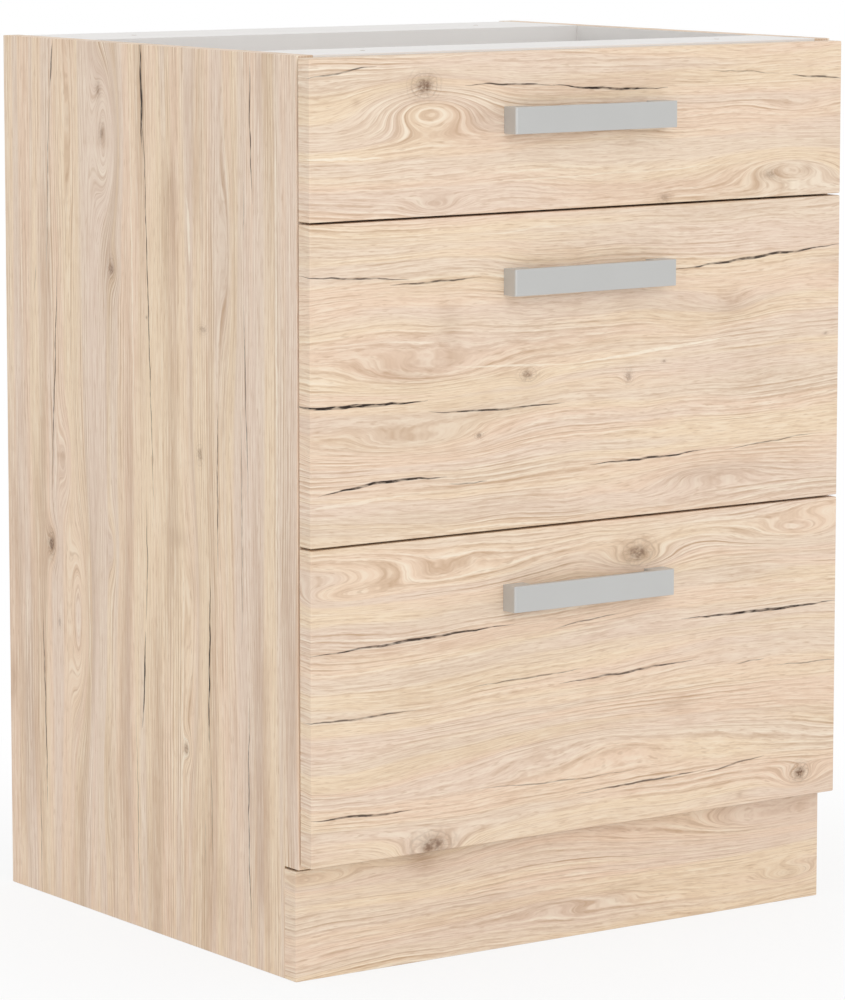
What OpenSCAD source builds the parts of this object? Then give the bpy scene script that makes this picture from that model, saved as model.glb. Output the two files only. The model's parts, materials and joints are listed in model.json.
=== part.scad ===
// Kitchen base cabinet with three drawers, in millimetres.
// +Z is up, the drawer fronts face -Y, and the origin is the centre of the footprint's box on the floor.
// Drawers are numbered from the top down. Left and right are as seen from the front.

/* [Carcass] */
// Width over the two side panels
cab_w = 600; // [500:10:900]
// Height from the floor to the top of the rails
cab_h = 820; // [780:5:900]
// Depth from the faces of the drawer fronts to the rear edges of the sides
cab_d = 520; // [460:5:620]
// Thickness of each side panel
side_t = 18; // [16:0.5:19]
// Thickness of the bottom, the rails, the drawer bases and the drawer backs
board_t = 16; // [15:0.5:18]
// Thickness of the back panel
back_t = 3; // [3:0.5:5]
// Distance from the rear edges of the sides to the back panel
back_inset = 12; // [8:1:20]
// Depth of the groove that holds the back panel
groove_depth = 7; // [5:0.5:9]
// Depth of the front rail, from front to back
front_rail_d = 88; // [76:1:110]
// Depth of the rear rail, from front to back
rear_rail_d = 118; // [76:1:130]

/* [Plinth] */
// Height of the plinth board
plinth_h = 100; // [90:1:120]
// Thickness of the plinth board
plinth_t = 18; // [16:0.5:19]
// Distance of the plinth's face behind the faces of the drawer fronts
plinth_setback = 24; // [22:1:60]
// Height of the notch in the sides above the plinth board
plinth_play = 2; // [1:0.5:4]

/* [Drawer fronts] */
// Thickness of the drawer fronts
front_t = 18; // [16:0.5:19]
// Height of the top drawer's front
top_front_h = 142; // [140:1:170]
// Gap between one drawer front and the next
front_gap = 2; // [2:0.5:4]
// Gap between the drawer fronts and the carcass behind them
front_back_gap = 1; // [0.5:0.5:3]
// Step from the outer face of a side in to the end of a front
front_end_step = 1; // [0:0.5:3]
// Step from the top of the carcass down to the top front
front_top_step = 2; // [0:0.5:6]
// Height of the lowest front's bottom edge above the plinth board
front_foot_step = 6; // [3:0.5:12]

/* [Handles] */
// Length of a handle
handle_l = 182; // [140:2:240]
// Height of a handle
handle_h = 24; // [18:1:30]
// Distance that a handle stands out from its front
handle_out = 18; // [16:1:30]
// Thickness of the handle's grip bar
grip_t = 5.5; // [4:0.5:8]
// Width of each of the handle's two feet
foot_w = 22; // [16:1:30]
// Distance of the handle's middle below the top edge of its front
handle_drop = 60; // [45:1:64]
// Corner radius of the handle, seen from above
handle_r = 2; // [1:0.5:2.5]
// Radius of the handle screws
handle_screw_r = 2; // [1.5:0.25:2.5]
// Depth of the threaded bores in the handle's feet
handle_bore_l = 10; // [6:0.5:12]

/* [Drawers] */
// Room between the drawers and the back panel
drawer_room = 37; // [15:1:60]
// Height of the steel drawer sides
drawer_side_h = 86; // [80:1:88]
// Thickness of the steel sheet in sides, runners and brackets
steel_t = 1.2; // [1:0.1:1.4]
// Width of the room for the runner beside each drawer
side_play = 12.5; // [12.5:0.25:14]
// Height of the runners above the bottom edge of their drawer's front
runner_lift = 30; // [26:1:32]
// Length of a drawer that its runners still hold when it is fully open
drawer_hold = 90; // [80:5:170]
// Width of the ledge that carries the drawer base
ledge_w = 14; // [12:0.5:18]
// Width of the turned-over top edge of a drawer side
hem_w = 4; // [3:0.5:6]
// Drop of the turned-over edge's lip
hem_drop = 7; // [4:0.5:9]
// Height of the top drawer's back board
low_back_h = 64; // [55:1:66]
// Height of the two deep drawers' back boards
high_back_h = 180; // [160:1:190]
// Diameter of the gallery rails on the deep drawers
gallery_rail_d = 10; // [8:0.5:12]
// Wall thickness of the gallery rails
gallery_wall = 1; // [0.8:0.1:1.5]
// Height of the gallery rails' axes above the drawer base
gallery_lift = 130; // [105:1:150]

/* [Runners] */
// Diameter of the rollers
roller_d = 22; // [18:0.5:22]
// Width of a roller's tread
roller_w = 6; // [5:0.5:6.5]
// Diameter of the pins that the rollers turn on
pin_d = 6; // [4:0.5:7]
// Diameter of the collar and the head of a roller pin
pin_head_d = 9; // [8.5:0.5:11]
// Distance of a roller's axis from the end of its runner
roller_end = 14; // [12:0.5:18]
// Running clearance between the rollers and the steel they roll on
roll_gap = 0.3; // [0.2:0.05:0.4]
// Radial clearance of a roller on its pin
pin_fit = 0.06; // [0.04:0.01:0.1]

/* [Fittings] */
// Diameter of the cam housings that draw the boards to the sides
cam_d = 15; // [14:0.5:16]
// Depth of the holes for the cam housings
cam_depth = 12.5; // [11.5:0.25:13]
// Distance of a cam's axis from the end of its board
cam_reach = 24; // [20:1:34]
// Diameter of the cam bolts' heads
bolt_head_d = 7; // [6:0.5:7.5]
// Diameter of the cam bolts' shanks
bolt_shank_d = 4.5; // [4:0.25:5.5]
// Depth of the cam bolts' threads in the side panels
bolt_thread_l = 11; // [9:0.5:13]
// Diameter of the wooden dowels
dowel_d = 8; // [6:0.5:10]
// Length of the wooden dowels
dowel_l = 30; // [25:1:35]
// Depth of the dowel holes in the side panels
dowel_side_l = 12.5; // [10:0.5:13]
// Distance between a cam bolt and the dowel beside it
dowel_pitch = 32; // [24:1:40]
// Diameter of the worktop fixing holes in the rails
worktop_hole_d = 5; // [4:0.5:7]
// Distance between the worktop fixing holes, across the cabinet
worktop_hole_pitch = 400; // [200:10:420]
// Diameter of the wood screws' shanks
screw_d = 3.5; // [3:0.25:4]
// Length of the wood screws' shanks
screw_l = 13; // [11:0.5:14]
// Diameter of the wood screws' heads
screw_head_d = 6.5; // [6:0.25:7]
// Height of the wood screws' heads
screw_head_h = 1.6; // [1.2:0.1:1.7]

/* [Hidden] */
$fn = 48;

// Small clearances
screw_fit = 0.1;
slot_fit = 0.2;
axial_fit = 0.2;
cut = 1;

// Planes of the carcass
half_w = cab_w / 2;
inner_w = cab_w - 2 * side_t;
half_in = inner_w / 2;
overall_d = cab_d + handle_out;
face_y = handle_out - overall_d / 2;
front_rear_y = face_y + front_t;
carcass_y = front_rear_y + front_back_gap;
rear_y = face_y + cab_d;
back_y = rear_y - back_inset - back_t;
plinth_y = face_y + plinth_setback;
notch_y = plinth_y + plinth_t;
notch_z = plinth_h + plinth_play;
bottom_z = notch_z;
rail_z = cab_h - board_t;
rear_rail_y = back_y - rear_rail_d;
back_screw_edge = 40;

// Length of the drawer sides and of the cabinet runners, and the way a drawer travels
drawer_l = back_y - drawer_room - front_rear_y;
drawer_travel = drawer_l - drawer_hold;

// Heights of the drawer fronts: the deep ones share what the top one leaves
front_low_z = plinth_h + front_foot_step;
front_high_z = cab_h - front_top_step;
deep_front_h = (front_high_z - front_low_z - top_front_h - 2 * front_gap) / 2;
front_h = [top_front_h, deep_front_h, deep_front_h];
front_z = [
    front_high_z - top_front_h,
    front_low_z + deep_front_h + front_gap,
    front_low_z];
front_half_w = half_w - front_end_step;

// Runner section: heights are above the runner's lower edge, and across it u is
// the distance from the cabinet side's inner face towards the drawer
roller_r = roller_d / 2;
roller_z = steel_t + roll_gap + roller_r;
flange_z = roller_z + roller_r + roll_gap;
cover_z = flange_z + steel_t + roll_gap;
runner_h = cover_z + steel_t;
pin_head_t = 0.7;
roller_u = 4;
roller_far_u = roller_u + roller_w;
flange_u = roller_u - axial_fit - pin_head_t;
channel_w = roller_far_u + 0.5;
runner_front_gap = 2;
runner_y = carcass_y + runner_front_gap;
cab_roller_y = runner_y + roller_end;
channel_y = cab_roller_y + roller_r + 2;
drawer_roller_y = front_rear_y + drawer_l - roller_end;
stop_t = 2;
stop_h = 4;
stop_gap = 1;
stop_y = drawer_roller_y - drawer_travel - roller_r - stop_gap - stop_t;
runner_screw_first = 37;
runner_screw_pitch = 32;
runner_screw_y = [for (n = [0, 4, 9]) runner_screw_first + n * runner_screw_pitch];
runner_z = [for (z = front_z) z + runner_lift];

// Drawer section
side_low = 2;
wall_u = side_play;
wall_in_u = wall_u + steel_t;
base_low = side_low + steel_t;
base_top = base_low + board_t;
side_top = side_low + drawer_side_h;
base_half = half_in - wall_in_u - slot_fit;
drawer_back_y = front_rear_y + drawer_l - board_t;
drawer_rear_y = front_rear_y + drawer_l;
back_h = [low_back_h, high_back_h, high_back_h];
back_screw_low = 18;
back_screw_pitch = 30;
back_screw_z = [base_top + back_screw_low, base_top + back_screw_low + back_screw_pitch];
base_screw_edge = 45;
base_screw_y = [base_screw_edge, drawer_l / 2, drawer_l - base_screw_edge];
base_screw_u = wall_in_u + ledge_w / 2;

// Front brackets: one plate on the front, one along the drawer side
bracket_t = 1.5;
bracket_w = 22;
bracket_l = 60;
bracket_base_gap = 2;
bracket_z = base_top + bracket_base_gap;
bracket_h = 52;
bracket_screw_edge = 10;
bracket_screw_z = [bracket_z + bracket_screw_edge, bracket_z + bracket_h - bracket_screw_edge];
bracket_screw_u = wall_in_u + bracket_t + bracket_w / 2;
bracket_stud_r = 3;
bracket_stud_edge = 20;
bracket_stud_y = bracket_l - bracket_stud_edge;
bracket_stud_z = bracket_z + bracket_h / 2;

// Gallery rails on the deep drawers
holder_wall = 3;
holder_d = gallery_rail_d + 2 * holder_wall;
holder_l = 16;
holder_floor = 3;
gallery_u = wall_in_u + holder_d / 2;
gallery_z = base_top + gallery_lift;
rail_start = holder_floor + screw_head_h + 0.8;

// Connectors of the boards to the sides, as [y, z of the board's underside]
bottom_cam_edge = 60;
bottom_cam_y = [carcass_y + bottom_cam_edge, back_y - bottom_cam_edge];
rail_mid_y = [carcass_y + front_rail_d / 2, rear_rail_y + rear_rail_d / 2];
cam_places = [
    for (y = bottom_cam_y) [y, bottom_z],
    for (y = rail_mid_y) [y - dowel_pitch / 2, rail_z]];
dowel_places = [
    [bottom_cam_y[0] + dowel_pitch, bottom_z],
    [bottom_cam_y[1] - dowel_pitch, bottom_z],
    for (y = rail_mid_y) [y + dowel_pitch / 2, rail_z]];
bolt_r = 2.5;
bolt_collar_r = 3.9;
bolt_collar_l = 6;
bolt_hole_r = bolt_collar_r + screw_fit;
bolt_head_l = 4;
cam_floor_gap = 0.5;
cam_slot_w = 1.2;
cam_slot_depth = 2;

// Plinth brackets stand in the corners between the plinth board and the sides
corner_leg = 30;
corner_t = 3;
corner_z = 20;
corner_h = 50;
corner_screw_edge = 12;
corner_screw_z = [corner_z + corner_screw_edge, corner_z + corner_h - corner_screw_edge];
corner_screw_off = 19;

// Colours
oak = [0.89, 0.81, 0.69];
white_board = [0.93, 0.93, 0.93];
silver = [0.76, 0.76, 0.75];
steel_grey = [0.82, 0.83, 0.84];
zinc = [0.70, 0.71, 0.72];
nylon = [0.95, 0.95, 0.94];
beech = [0.80, 0.64, 0.45];

// A box from one corner to the other
module slab(x0, x1, y0, y1, z0, z1) {
    translate([x0, y0, z0]) cube([x1 - x0, y1 - y0, z1 - z0]);
}

// A part made for the left, and its mirror image for the right
module both_sides() {
    children();
    mirror([1, 0, 0]) children();
}

// Left-hand fitting space: x is u, y is the part's own y, z is above the runner's lower edge
module at_left(z) {
    translate([-half_in, 0, z]) children();
}

// A round bar along +X from x0 to x1
module bar_x(x0, x1, r) {
    translate([x0, 0, 0]) rotate([0, 90, 0]) cylinder(h = x1 - x0, r = r);
}

// Wood screw: the head's underside is at the origin and the shank points along +Z
module wood_screw() {
    translate([0, 0, -screw_head_h]) cylinder(h = screw_head_h, d = screw_head_d);
    cylinder(h = screw_l, d = screw_d);
}

// Hole for a wood screw, from its seat inwards and clear of its seat outwards
module wood_screw_hole() {
    translate([0, 0, -cut]) cylinder(h = screw_l + slot_fit + cut, r = screw_d / 2 + screw_fit);
}

// Where the wood screws of the carcass go
module at_runner_screws() {
    for (z = runner_z, y = runner_screw_y)
        translate([-half_in + steel_t, runner_y + y, z + roller_z]) rotate([0, -90, 0]) children();
}

module at_corner_screws() {
    for (z = corner_screw_z) {
        translate([-half_in + corner_screw_off, notch_y + corner_t, z]) rotate([90, 0, 0]) children();
        translate([-half_in + corner_t, notch_y + corner_screw_off, z]) rotate([0, -90, 0]) children();
    }
}

module at_back_screws() {
    edge_x = half_in - back_screw_edge;
    for (x = [-edge_x, 0, edge_x], z = [bottom_z + board_t / 2, rail_z + board_t / 2])
        translate([x, back_y + back_t, z]) rotate([90, 0, 0]) children();
}

// Side panels, rails, bottom and back
module side_panel() {
    color(oak) difference() {
        slab(-half_w, -half_in, carcass_y, rear_y, 0, cab_h);
        slab(-half_w - cut, -half_in + cut, carcass_y - cut, notch_y, -cut, notch_z);
        slab(-half_in - groove_depth, -half_in + cut, back_y - slot_fit, back_y + back_t + slot_fit,
            -cut, cab_h + cut);
        for (p = cam_places) translate([-half_in, p[0], p[1] + board_t / 2])
            bar_x(-bolt_thread_l - slot_fit, cut, bolt_r + screw_fit);
        for (p = dowel_places) translate([-half_in, p[0], p[1] + board_t / 2])
            bar_x(-dowel_side_l, cut, dowel_d / 2 + screw_fit);
        at_runner_screws() wood_screw_hole();
        at_corner_screws() wood_screw_hole();
    }
}

// The cam, bolt and dowel holes in both ends of a board whose underside is at z
module board_holes(z) {
    both_sides() {
        for (p = cam_places) if (p[1] == z) translate([-half_in, p[0], z]) {
            translate([cam_reach, 0, -cut]) cylinder(h = cam_depth + cut, r = cam_d / 2 + screw_fit);
            translate([0, 0, board_t / 2]) bar_x(-cut, cam_reach, bolt_hole_r);
        }
        for (p = dowel_places) if (p[1] == z) translate([-half_in, p[0], z + board_t / 2])
            bar_x(-cut, dowel_l - dowel_side_l + 1, dowel_d / 2 + screw_fit);
    }
}

module bottom_panel() {
    color(white_board) difference() {
        slab(-half_in, half_in, carcass_y, back_y, bottom_z, bottom_z + board_t);
        board_holes(bottom_z);
        at_back_screws() wood_screw_hole();
    }
}

module rail_board(y0, depth) {
    color(white_board) difference() {
        slab(-half_in, half_in, y0, y0 + depth, rail_z, cab_h);
        board_holes(rail_z);
        at_back_screws() wood_screw_hole();
        for (s = [-1, 1]) translate([s * worktop_hole_pitch / 2, y0 + depth / 2, rail_z - cut])
            cylinder(h = board_t + 2 * cut, d = worktop_hole_d);
    }
}

module front_rail() rail_board(carcass_y, front_rail_d);

module rear_rail() rail_board(rear_rail_y, rear_rail_d);

module back_panel() {
    reach = half_in + groove_depth - slot_fit;
    color(white_board) difference() {
        slab(-reach, reach, back_y, back_y + back_t, bottom_z, cab_h - 1);
        at_back_screws() wood_screw_hole();
    }
}

module back_panel_screws() color(zinc) at_back_screws() wood_screw();

module plinth_board() {
    color(oak) difference() {
        slab(-half_w, half_w, plinth_y, notch_y, 0, plinth_h);
        both_sides() at_corner_screws() wood_screw_hole();
    }
}

module plinth_brackets() {
    color(nylon) both_sides() difference() {
        translate([-half_in, notch_y, corner_z]) {
            cube([corner_t, corner_leg, corner_h]);
            cube([corner_leg, corner_t, corner_h]);
            translate([0, 0, corner_h / 2 - corner_t / 2]) linear_extrude(corner_t)
                polygon([[0, 0], [corner_leg, 0], [0, corner_leg]]);
        }
        at_corner_screws() wood_screw_hole();
    }
}

module plinth_screws() color(zinc) both_sides() at_corner_screws() wood_screw();

// Cam fittings: a housing under each board end holds the head of a bolt in the side
module cam_housing() {
    neck = bolt_shank_d / 2 + slot_fit;
    pocket_r = bolt_head_d / 2 + 0.5;
    difference() {
        cylinder(h = cam_depth - cam_floor_gap, d = cam_d);
        translate([0, 0, board_t / 2]) {
            translate([-cam_d, -neck, -neck]) cube([cam_d, 2 * neck, board_t]);
            translate([0, 0, -bolt_head_d / 2 - slot_fit]) cylinder(h = board_t, r = pocket_r);
        }
        for (a = [0, 90]) rotate(a) translate([-cam_d / 4, -cam_slot_w / 2, -cut])
            cube([cam_d / 2, cam_slot_w, cam_slot_depth + cut]);
    }
}

module cam_housings() {
    color(zinc) both_sides() for (p = cam_places)
        translate([-half_in + cam_reach, p[0], p[1]]) cam_housing();
}

module cam_bolt() {
    bar_x(-bolt_thread_l, 0, bolt_r);
    bar_x(0, bolt_collar_l, bolt_collar_r);
    bar_x(0, cam_reach, bolt_shank_d / 2);
    bar_x(cam_reach - bolt_head_l / 2, cam_reach + bolt_head_l / 2, bolt_head_d / 2);
}

module cam_bolts() {
    color(zinc) both_sides() for (p = cam_places)
        translate([-half_in, p[0], p[1] + board_t / 2]) cam_bolt();
}

module wooden_dowels() {
    color(beech) both_sides() for (p = dowel_places)
        translate([-half_in, p[0], p[1] + board_t / 2])
            bar_x(0.3 - dowel_side_l, dowel_l - dowel_side_l + 0.3, dowel_d / 2);
}

// Cabinet runner: a steel channel with a roller pin at its front end and a stop tab
module runner_left(d) {
    color(steel_grey) at_left(runner_z[d - 1]) difference() {
        union() {
            slab(0, steel_t, runner_y, runner_y + drawer_l, 0, runner_h);
            slab(0, channel_w, runner_y, runner_y + drawer_l, cover_z, runner_h);
            slab(0, channel_w, channel_y, runner_y + drawer_l, 0, steel_t);
            slab(0, channel_w, stop_y, stop_y + stop_t, 0, steel_t + stop_h);
            translate([0, cab_roller_y, roller_z]) {
                bar_x(0, roller_u - axial_fit, pin_head_d / 2);
                bar_x(0, roller_far_u + axial_fit, pin_d / 2);
                bar_x(roller_far_u + axial_fit, roller_far_u + axial_fit + pin_head_t, pin_head_d / 2);
            }
        }
        for (y = runner_screw_y) translate([0, runner_y + y, roller_z])
            bar_x(-cut, steel_t + cut, screw_d / 2 + screw_fit);
    }
}

module runner_screws() color(zinc) both_sides() at_runner_screws() wood_screw();

// A pair of rollers, left and right, on one axis at y
module roller_pair(d, y) {
    color(nylon) both_sides() at_left(runner_z[d - 1]) translate([0, y, roller_z]) difference() {
        bar_x(roller_u, roller_far_u, roller_r);
        bar_x(roller_u - cut, roller_far_u + cut, pin_d / 2 + pin_fit);
        translate([roller_far_u - 1, 0, 0]) rotate([0, 90, 0]) difference() {
            cylinder(h = 1 + cut, r = roller_r - 2);
            translate([0, 0, -cut]) cylinder(h = 2 + 2 * cut, r = pin_d / 2 + 2);
        }
    }
}

module cabinet_rollers(d) roller_pair(d, cab_roller_y);

module drawer_rollers(d) roller_pair(d, drawer_roller_y);

// Steel drawer side with its ledge, turned-over top edge, roller flange and rear roller pin
module drawer_side_left(d) {
    hem_end_y = drawer_back_y - 0.5;
    start_y = front_rear_y + slot_fit;
    color(steel_grey) at_left(runner_z[d - 1]) difference() {
        union() {
            slab(wall_u, wall_in_u, start_y, drawer_rear_y, side_low, side_top);
            slab(wall_u, wall_in_u + ledge_w, start_y, drawer_rear_y, side_low, base_low);
            slab(wall_u, wall_in_u + hem_w, start_y, hem_end_y, side_top - steel_t, side_top);
            slab(wall_in_u + hem_w - steel_t, wall_in_u + hem_w, start_y, hem_end_y,
                side_top - hem_drop, side_top);
            slab(flange_u, wall_in_u, start_y, drawer_rear_y, flange_z, flange_z + steel_t);
            translate([0, drawer_roller_y, roller_z]) {
                bar_x(roller_far_u + axial_fit, wall_in_u, pin_head_d / 2);
                bar_x(roller_u - axial_fit, wall_in_u, pin_d / 2);
                bar_x(flange_u, roller_u - axial_fit, pin_head_d / 2);
            }
        }
        for (y = base_screw_y) translate([base_screw_u, front_rear_y + y, side_low - cut])
            cylinder(h = steel_t + 2 * cut, r = screw_d / 2 + screw_fit);
        for (z = back_screw_z) translate([0, drawer_rear_y - board_t / 2, z])
            bar_x(wall_u - cut, wall_in_u + cut, screw_d / 2 + screw_fit);
        translate([0, front_rear_y + bracket_stud_y, bracket_stud_z])
            bar_x(wall_u - cut, wall_in_u + cut, bracket_stud_r + screw_fit);
    }
}

// Where the left-hand wood screws of drawer d go
module at_base_screws(d) {
    at_left(runner_z[d - 1]) for (y = base_screw_y)
        translate([base_screw_u, front_rear_y + y, side_low]) children();
}

module at_drawer_back_screws(d) {
    at_left(runner_z[d - 1]) for (z = back_screw_z)
        translate([wall_u, drawer_rear_y - board_t / 2, z]) rotate([0, 90, 0]) children();
}

module at_bracket_screws(d) {
    at_left(runner_z[d - 1]) for (z = bracket_screw_z)
        translate([bracket_screw_u, front_rear_y + bracket_t, z]) rotate([90, 0, 0]) children();
}

module at_front_holder_screw(d) {
    if (d > 1) at_left(runner_z[d - 1])
        translate([gallery_u, front_rear_y + holder_floor, gallery_z]) rotate([90, 0, 0]) children();
}

module at_back_holder_screw(d) {
    if (d > 1) at_left(runner_z[d - 1])
        translate([gallery_u, drawer_back_y - holder_floor, gallery_z]) rotate([-90, 0, 0]) children();
}

module drawer_base(d) {
    color(white_board) difference() {
        slab(-base_half, base_half, front_rear_y, drawer_rear_y,
            runner_z[d - 1] + base_low, runner_z[d - 1] + base_top);
        both_sides() at_base_screws(d) wood_screw_hole();
    }
}

module drawer_back(d) {
    low_z = runner_z[d - 1] + base_top;
    color(white_board) difference() {
        slab(-base_half, base_half, drawer_back_y, drawer_rear_y, low_z, low_z + back_h[d - 1]);
        both_sides() at_drawer_back_screws(d) wood_screw_hole();
        both_sides() at_back_holder_screw(d) wood_screw_hole();
    }
}

// Angle brackets between a drawer's front and its steel sides
module front_brackets(d) {
    color(steel_grey) both_sides() difference() {
        at_left(runner_z[d - 1]) {
            slab(wall_in_u, wall_in_u + bracket_w, front_rear_y, front_rear_y + bracket_t,
                bracket_z, bracket_z + bracket_h);
            slab(wall_in_u, wall_in_u + bracket_t, front_rear_y, front_rear_y + bracket_l,
                bracket_z, bracket_z + bracket_h);
            translate([0, front_rear_y + bracket_stud_y, bracket_stud_z])
                bar_x(wall_u, wall_in_u + bracket_t, bracket_stud_r);
        }
        at_bracket_screws(d) wood_screw_hole();
    }
}

module drawer_screws(d) {
    color(zinc) both_sides() {
        at_base_screws(d) wood_screw();
        at_drawer_back_screws(d) wood_screw();
        at_bracket_screws(d) wood_screw();
        at_front_holder_screw(d) wood_screw();
        at_back_holder_screw(d) wood_screw();
    }
}

// Gallery rails: round tubes between a socket on the front and one on the back board
module gallery_rails(d) {
    color(steel_grey) both_sides() at_left(runner_z[d - 1])
        translate([gallery_u, front_rear_y + rail_start, gallery_z]) rotate([-90, 0, 0]) difference() {
            len = drawer_back_y - front_rear_y - 2 * rail_start;
            cylinder(h = len, d = gallery_rail_d);
            translate([0, 0, -cut]) cylinder(h = len + 2 * cut, r = gallery_rail_d / 2 - gallery_wall);
        }
}

module gallery_socket() {
    difference() {
        cylinder(h = holder_l, d = holder_d);
        translate([0, 0, holder_floor]) cylinder(h = holder_l, r = gallery_rail_d / 2 + screw_fit);
        translate([0, 0, -cut]) cylinder(h = holder_l, r = screw_d / 2 + screw_fit);
    }
}

module gallery_holders(d) {
    color(nylon) both_sides() at_left(runner_z[d - 1]) {
        translate([gallery_u, front_rear_y, gallery_z]) rotate([-90, 0, 0]) gallery_socket();
        translate([gallery_u, drawer_back_y, gallery_z]) rotate([90, 0, 0]) gallery_socket();
    }
}

// Drawer fronts and their handles
module at_handle_screws(d) {
    z = front_z[d - 1] + front_h[d - 1] - handle_drop;
    for (s = [-1, 1]) translate([s * (handle_l - foot_w) / 2, front_rear_y, z])
        rotate([90, 0, 0]) children();
}

module front(d) {
    color(oak) difference() {
        slab(-front_half_w, front_half_w, face_y, front_rear_y,
            front_z[d - 1], front_z[d - 1] + front_h[d - 1]);
        at_handle_screws(d) translate([0, 0, -cut])
            cylinder(h = front_t + 2 * cut, r = handle_screw_r + slot_fit);
        both_sides() at_bracket_screws(d) wood_screw_hole();
        both_sides() at_front_holder_screw(d) wood_screw_hole();
    }
}

// The handle's outline from above, with rounded outer corners and the finger gap left open
module handle_outline() {
    r = handle_r;
    difference() {
        union() {
            translate([-handle_l / 2, -handle_out + r]) square([handle_l, handle_out - r]);
            translate([-handle_l / 2 + r, -handle_out]) square([handle_l - 2 * r, r]);
            for (s = [-1, 1]) translate([s * (handle_l / 2 - r), -handle_out + r]) circle(r = r);
        }
        translate([-handle_l / 2 + foot_w, -handle_out + grip_t])
            square([handle_l - 2 * foot_w, handle_out]);
    }
}

module handle(d) {
    z = front_z[d - 1] + front_h[d - 1] - handle_drop;
    color(silver) difference() {
        translate([0, face_y, z - handle_h / 2]) linear_extrude(handle_h) handle_outline();
        at_handle_screws(d) cylinder(h = front_t + handle_bore_l, r = handle_screw_r + screw_fit);
    }
}

module handle_screws(d) {
    color(zinc) at_handle_screws(d) {
        cylinder(h = front_t + handle_bore_l - 0.5, r = handle_screw_r);
        translate([0, 0, -2.4]) cylinder(h = 2.4, r = 2 * handle_screw_r);
    }
}

side_panel();  // side_panel_left
mirror([1, 0, 0]) side_panel();  // side_panel_right
bottom_panel();
front_rail();
rear_rail();
back_panel();
plinth_board();
plinth_brackets();
plinth_screws();
back_panel_screws();
cam_housings();
cam_bolts();
wooden_dowels();
runner_screws();
for (d = [1 : 3]) {
    runner_left(d);
    mirror([1, 0, 0]) runner_left(d);
    cabinet_rollers(d);
    front(d);
    handle(d);
    handle_screws(d);
    drawer_side_left(d);
    mirror([1, 0, 0]) drawer_side_left(d);
    drawer_base(d);
    drawer_back(d);
    front_brackets(d);
    drawer_screws(d);
    drawer_rollers(d);
}
for (d = [2 : 3]) {
    gallery_rails(d);
    gallery_holders(d);
}
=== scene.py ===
import json
import math

import bmesh
import bpy
from bpy.props import FloatProperty, FloatVectorProperty, IntProperty, PointerProperty
from mathutils import Matrix, Vector


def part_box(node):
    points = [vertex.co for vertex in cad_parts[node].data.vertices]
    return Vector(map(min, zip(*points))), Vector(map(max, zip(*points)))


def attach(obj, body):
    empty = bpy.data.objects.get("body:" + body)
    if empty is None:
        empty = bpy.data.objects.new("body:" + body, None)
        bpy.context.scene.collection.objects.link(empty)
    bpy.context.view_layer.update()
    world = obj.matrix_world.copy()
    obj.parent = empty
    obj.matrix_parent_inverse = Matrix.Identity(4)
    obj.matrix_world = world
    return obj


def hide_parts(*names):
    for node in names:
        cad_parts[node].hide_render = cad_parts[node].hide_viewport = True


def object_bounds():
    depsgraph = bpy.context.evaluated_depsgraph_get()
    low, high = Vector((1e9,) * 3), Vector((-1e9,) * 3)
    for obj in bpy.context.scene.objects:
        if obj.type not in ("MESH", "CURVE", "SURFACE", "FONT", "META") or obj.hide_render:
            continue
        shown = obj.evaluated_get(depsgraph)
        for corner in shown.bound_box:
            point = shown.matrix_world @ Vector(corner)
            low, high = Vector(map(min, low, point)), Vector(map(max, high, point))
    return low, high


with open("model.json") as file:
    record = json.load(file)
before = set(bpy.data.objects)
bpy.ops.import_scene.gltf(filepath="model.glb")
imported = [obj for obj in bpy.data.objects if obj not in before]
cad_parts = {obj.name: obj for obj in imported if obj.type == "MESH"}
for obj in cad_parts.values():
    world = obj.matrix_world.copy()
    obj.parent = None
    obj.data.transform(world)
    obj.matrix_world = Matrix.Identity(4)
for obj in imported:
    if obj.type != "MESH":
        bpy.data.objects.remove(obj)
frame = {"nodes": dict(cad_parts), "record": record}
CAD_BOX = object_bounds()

bl_info = {
    "name": "Kitchen drawer cabinet",
    "version": (1, 0, 0),
    "blender": (4, 5, 0),
    "location": "View3D > Sidebar > Cabinet",
    "description": "Finishes every piece of a kitchen base cabinet with three drawers",
    "category": "Object",
}

MM = 0.001
DRAWERS = (1, 2, 3)
HANDS = ("left", "right")
NODE_BODY = {
    node: body for body, nodes in frame["record"]["behaviour"]["bodies"].items() for node in nodes
}

# Planes of the printed faces, in millimetres
FRONT_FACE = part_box("front_1")[0].y / MM
PLINTH_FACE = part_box("plinth_board")[0].y / MM
HALF_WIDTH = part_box("side_panel_right")[1].x / MM

# Grain of the fronts and the plinth, which runs across the cabinet.
# Places are (along the cabinet, height) and every number is in millimetres.
# A swell pushes the growth rings apart: (along, height, reach along, reach up, push)
FRONT_SWELLS = (
    (-174, 772, 62, 22, -38), (-178, 793, 13, 9, -9), (236, 706, 74, 18, -27), (236, 757, 50, 8, 9),
    (-165, 684, 30, 8, 10), (-170, 534, 120, 22, 21), (-195, 474, 100, 16, 21),
    (150, 424, 90, 12, -14), (62, 349, 50, 13, 25), (-262, 345, 56, 11, 17),
    (-165, 350, 120, 18, 18), (250, 360, 80, 16, 22), (20, 186, 250, 30, -22),
    (-172, 105, 44, 13, 24), (257, 123, 28, 11, 20), (-62, 524, 16, 8, 9), (50, 516, 10, 6, 6),
    (168, 580, 34, 14, 9),
)
PLINTH_SWELLS = (
    (-172, 112, 42, 15, 26), (257, 129, 26, 12, 20), (-290, 88, 80, 12, 22), (250, 82, 165, 20, 36),
    (268, 25, 40, 9, 16), (10, 33, 100, 9, -12),
)
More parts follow.
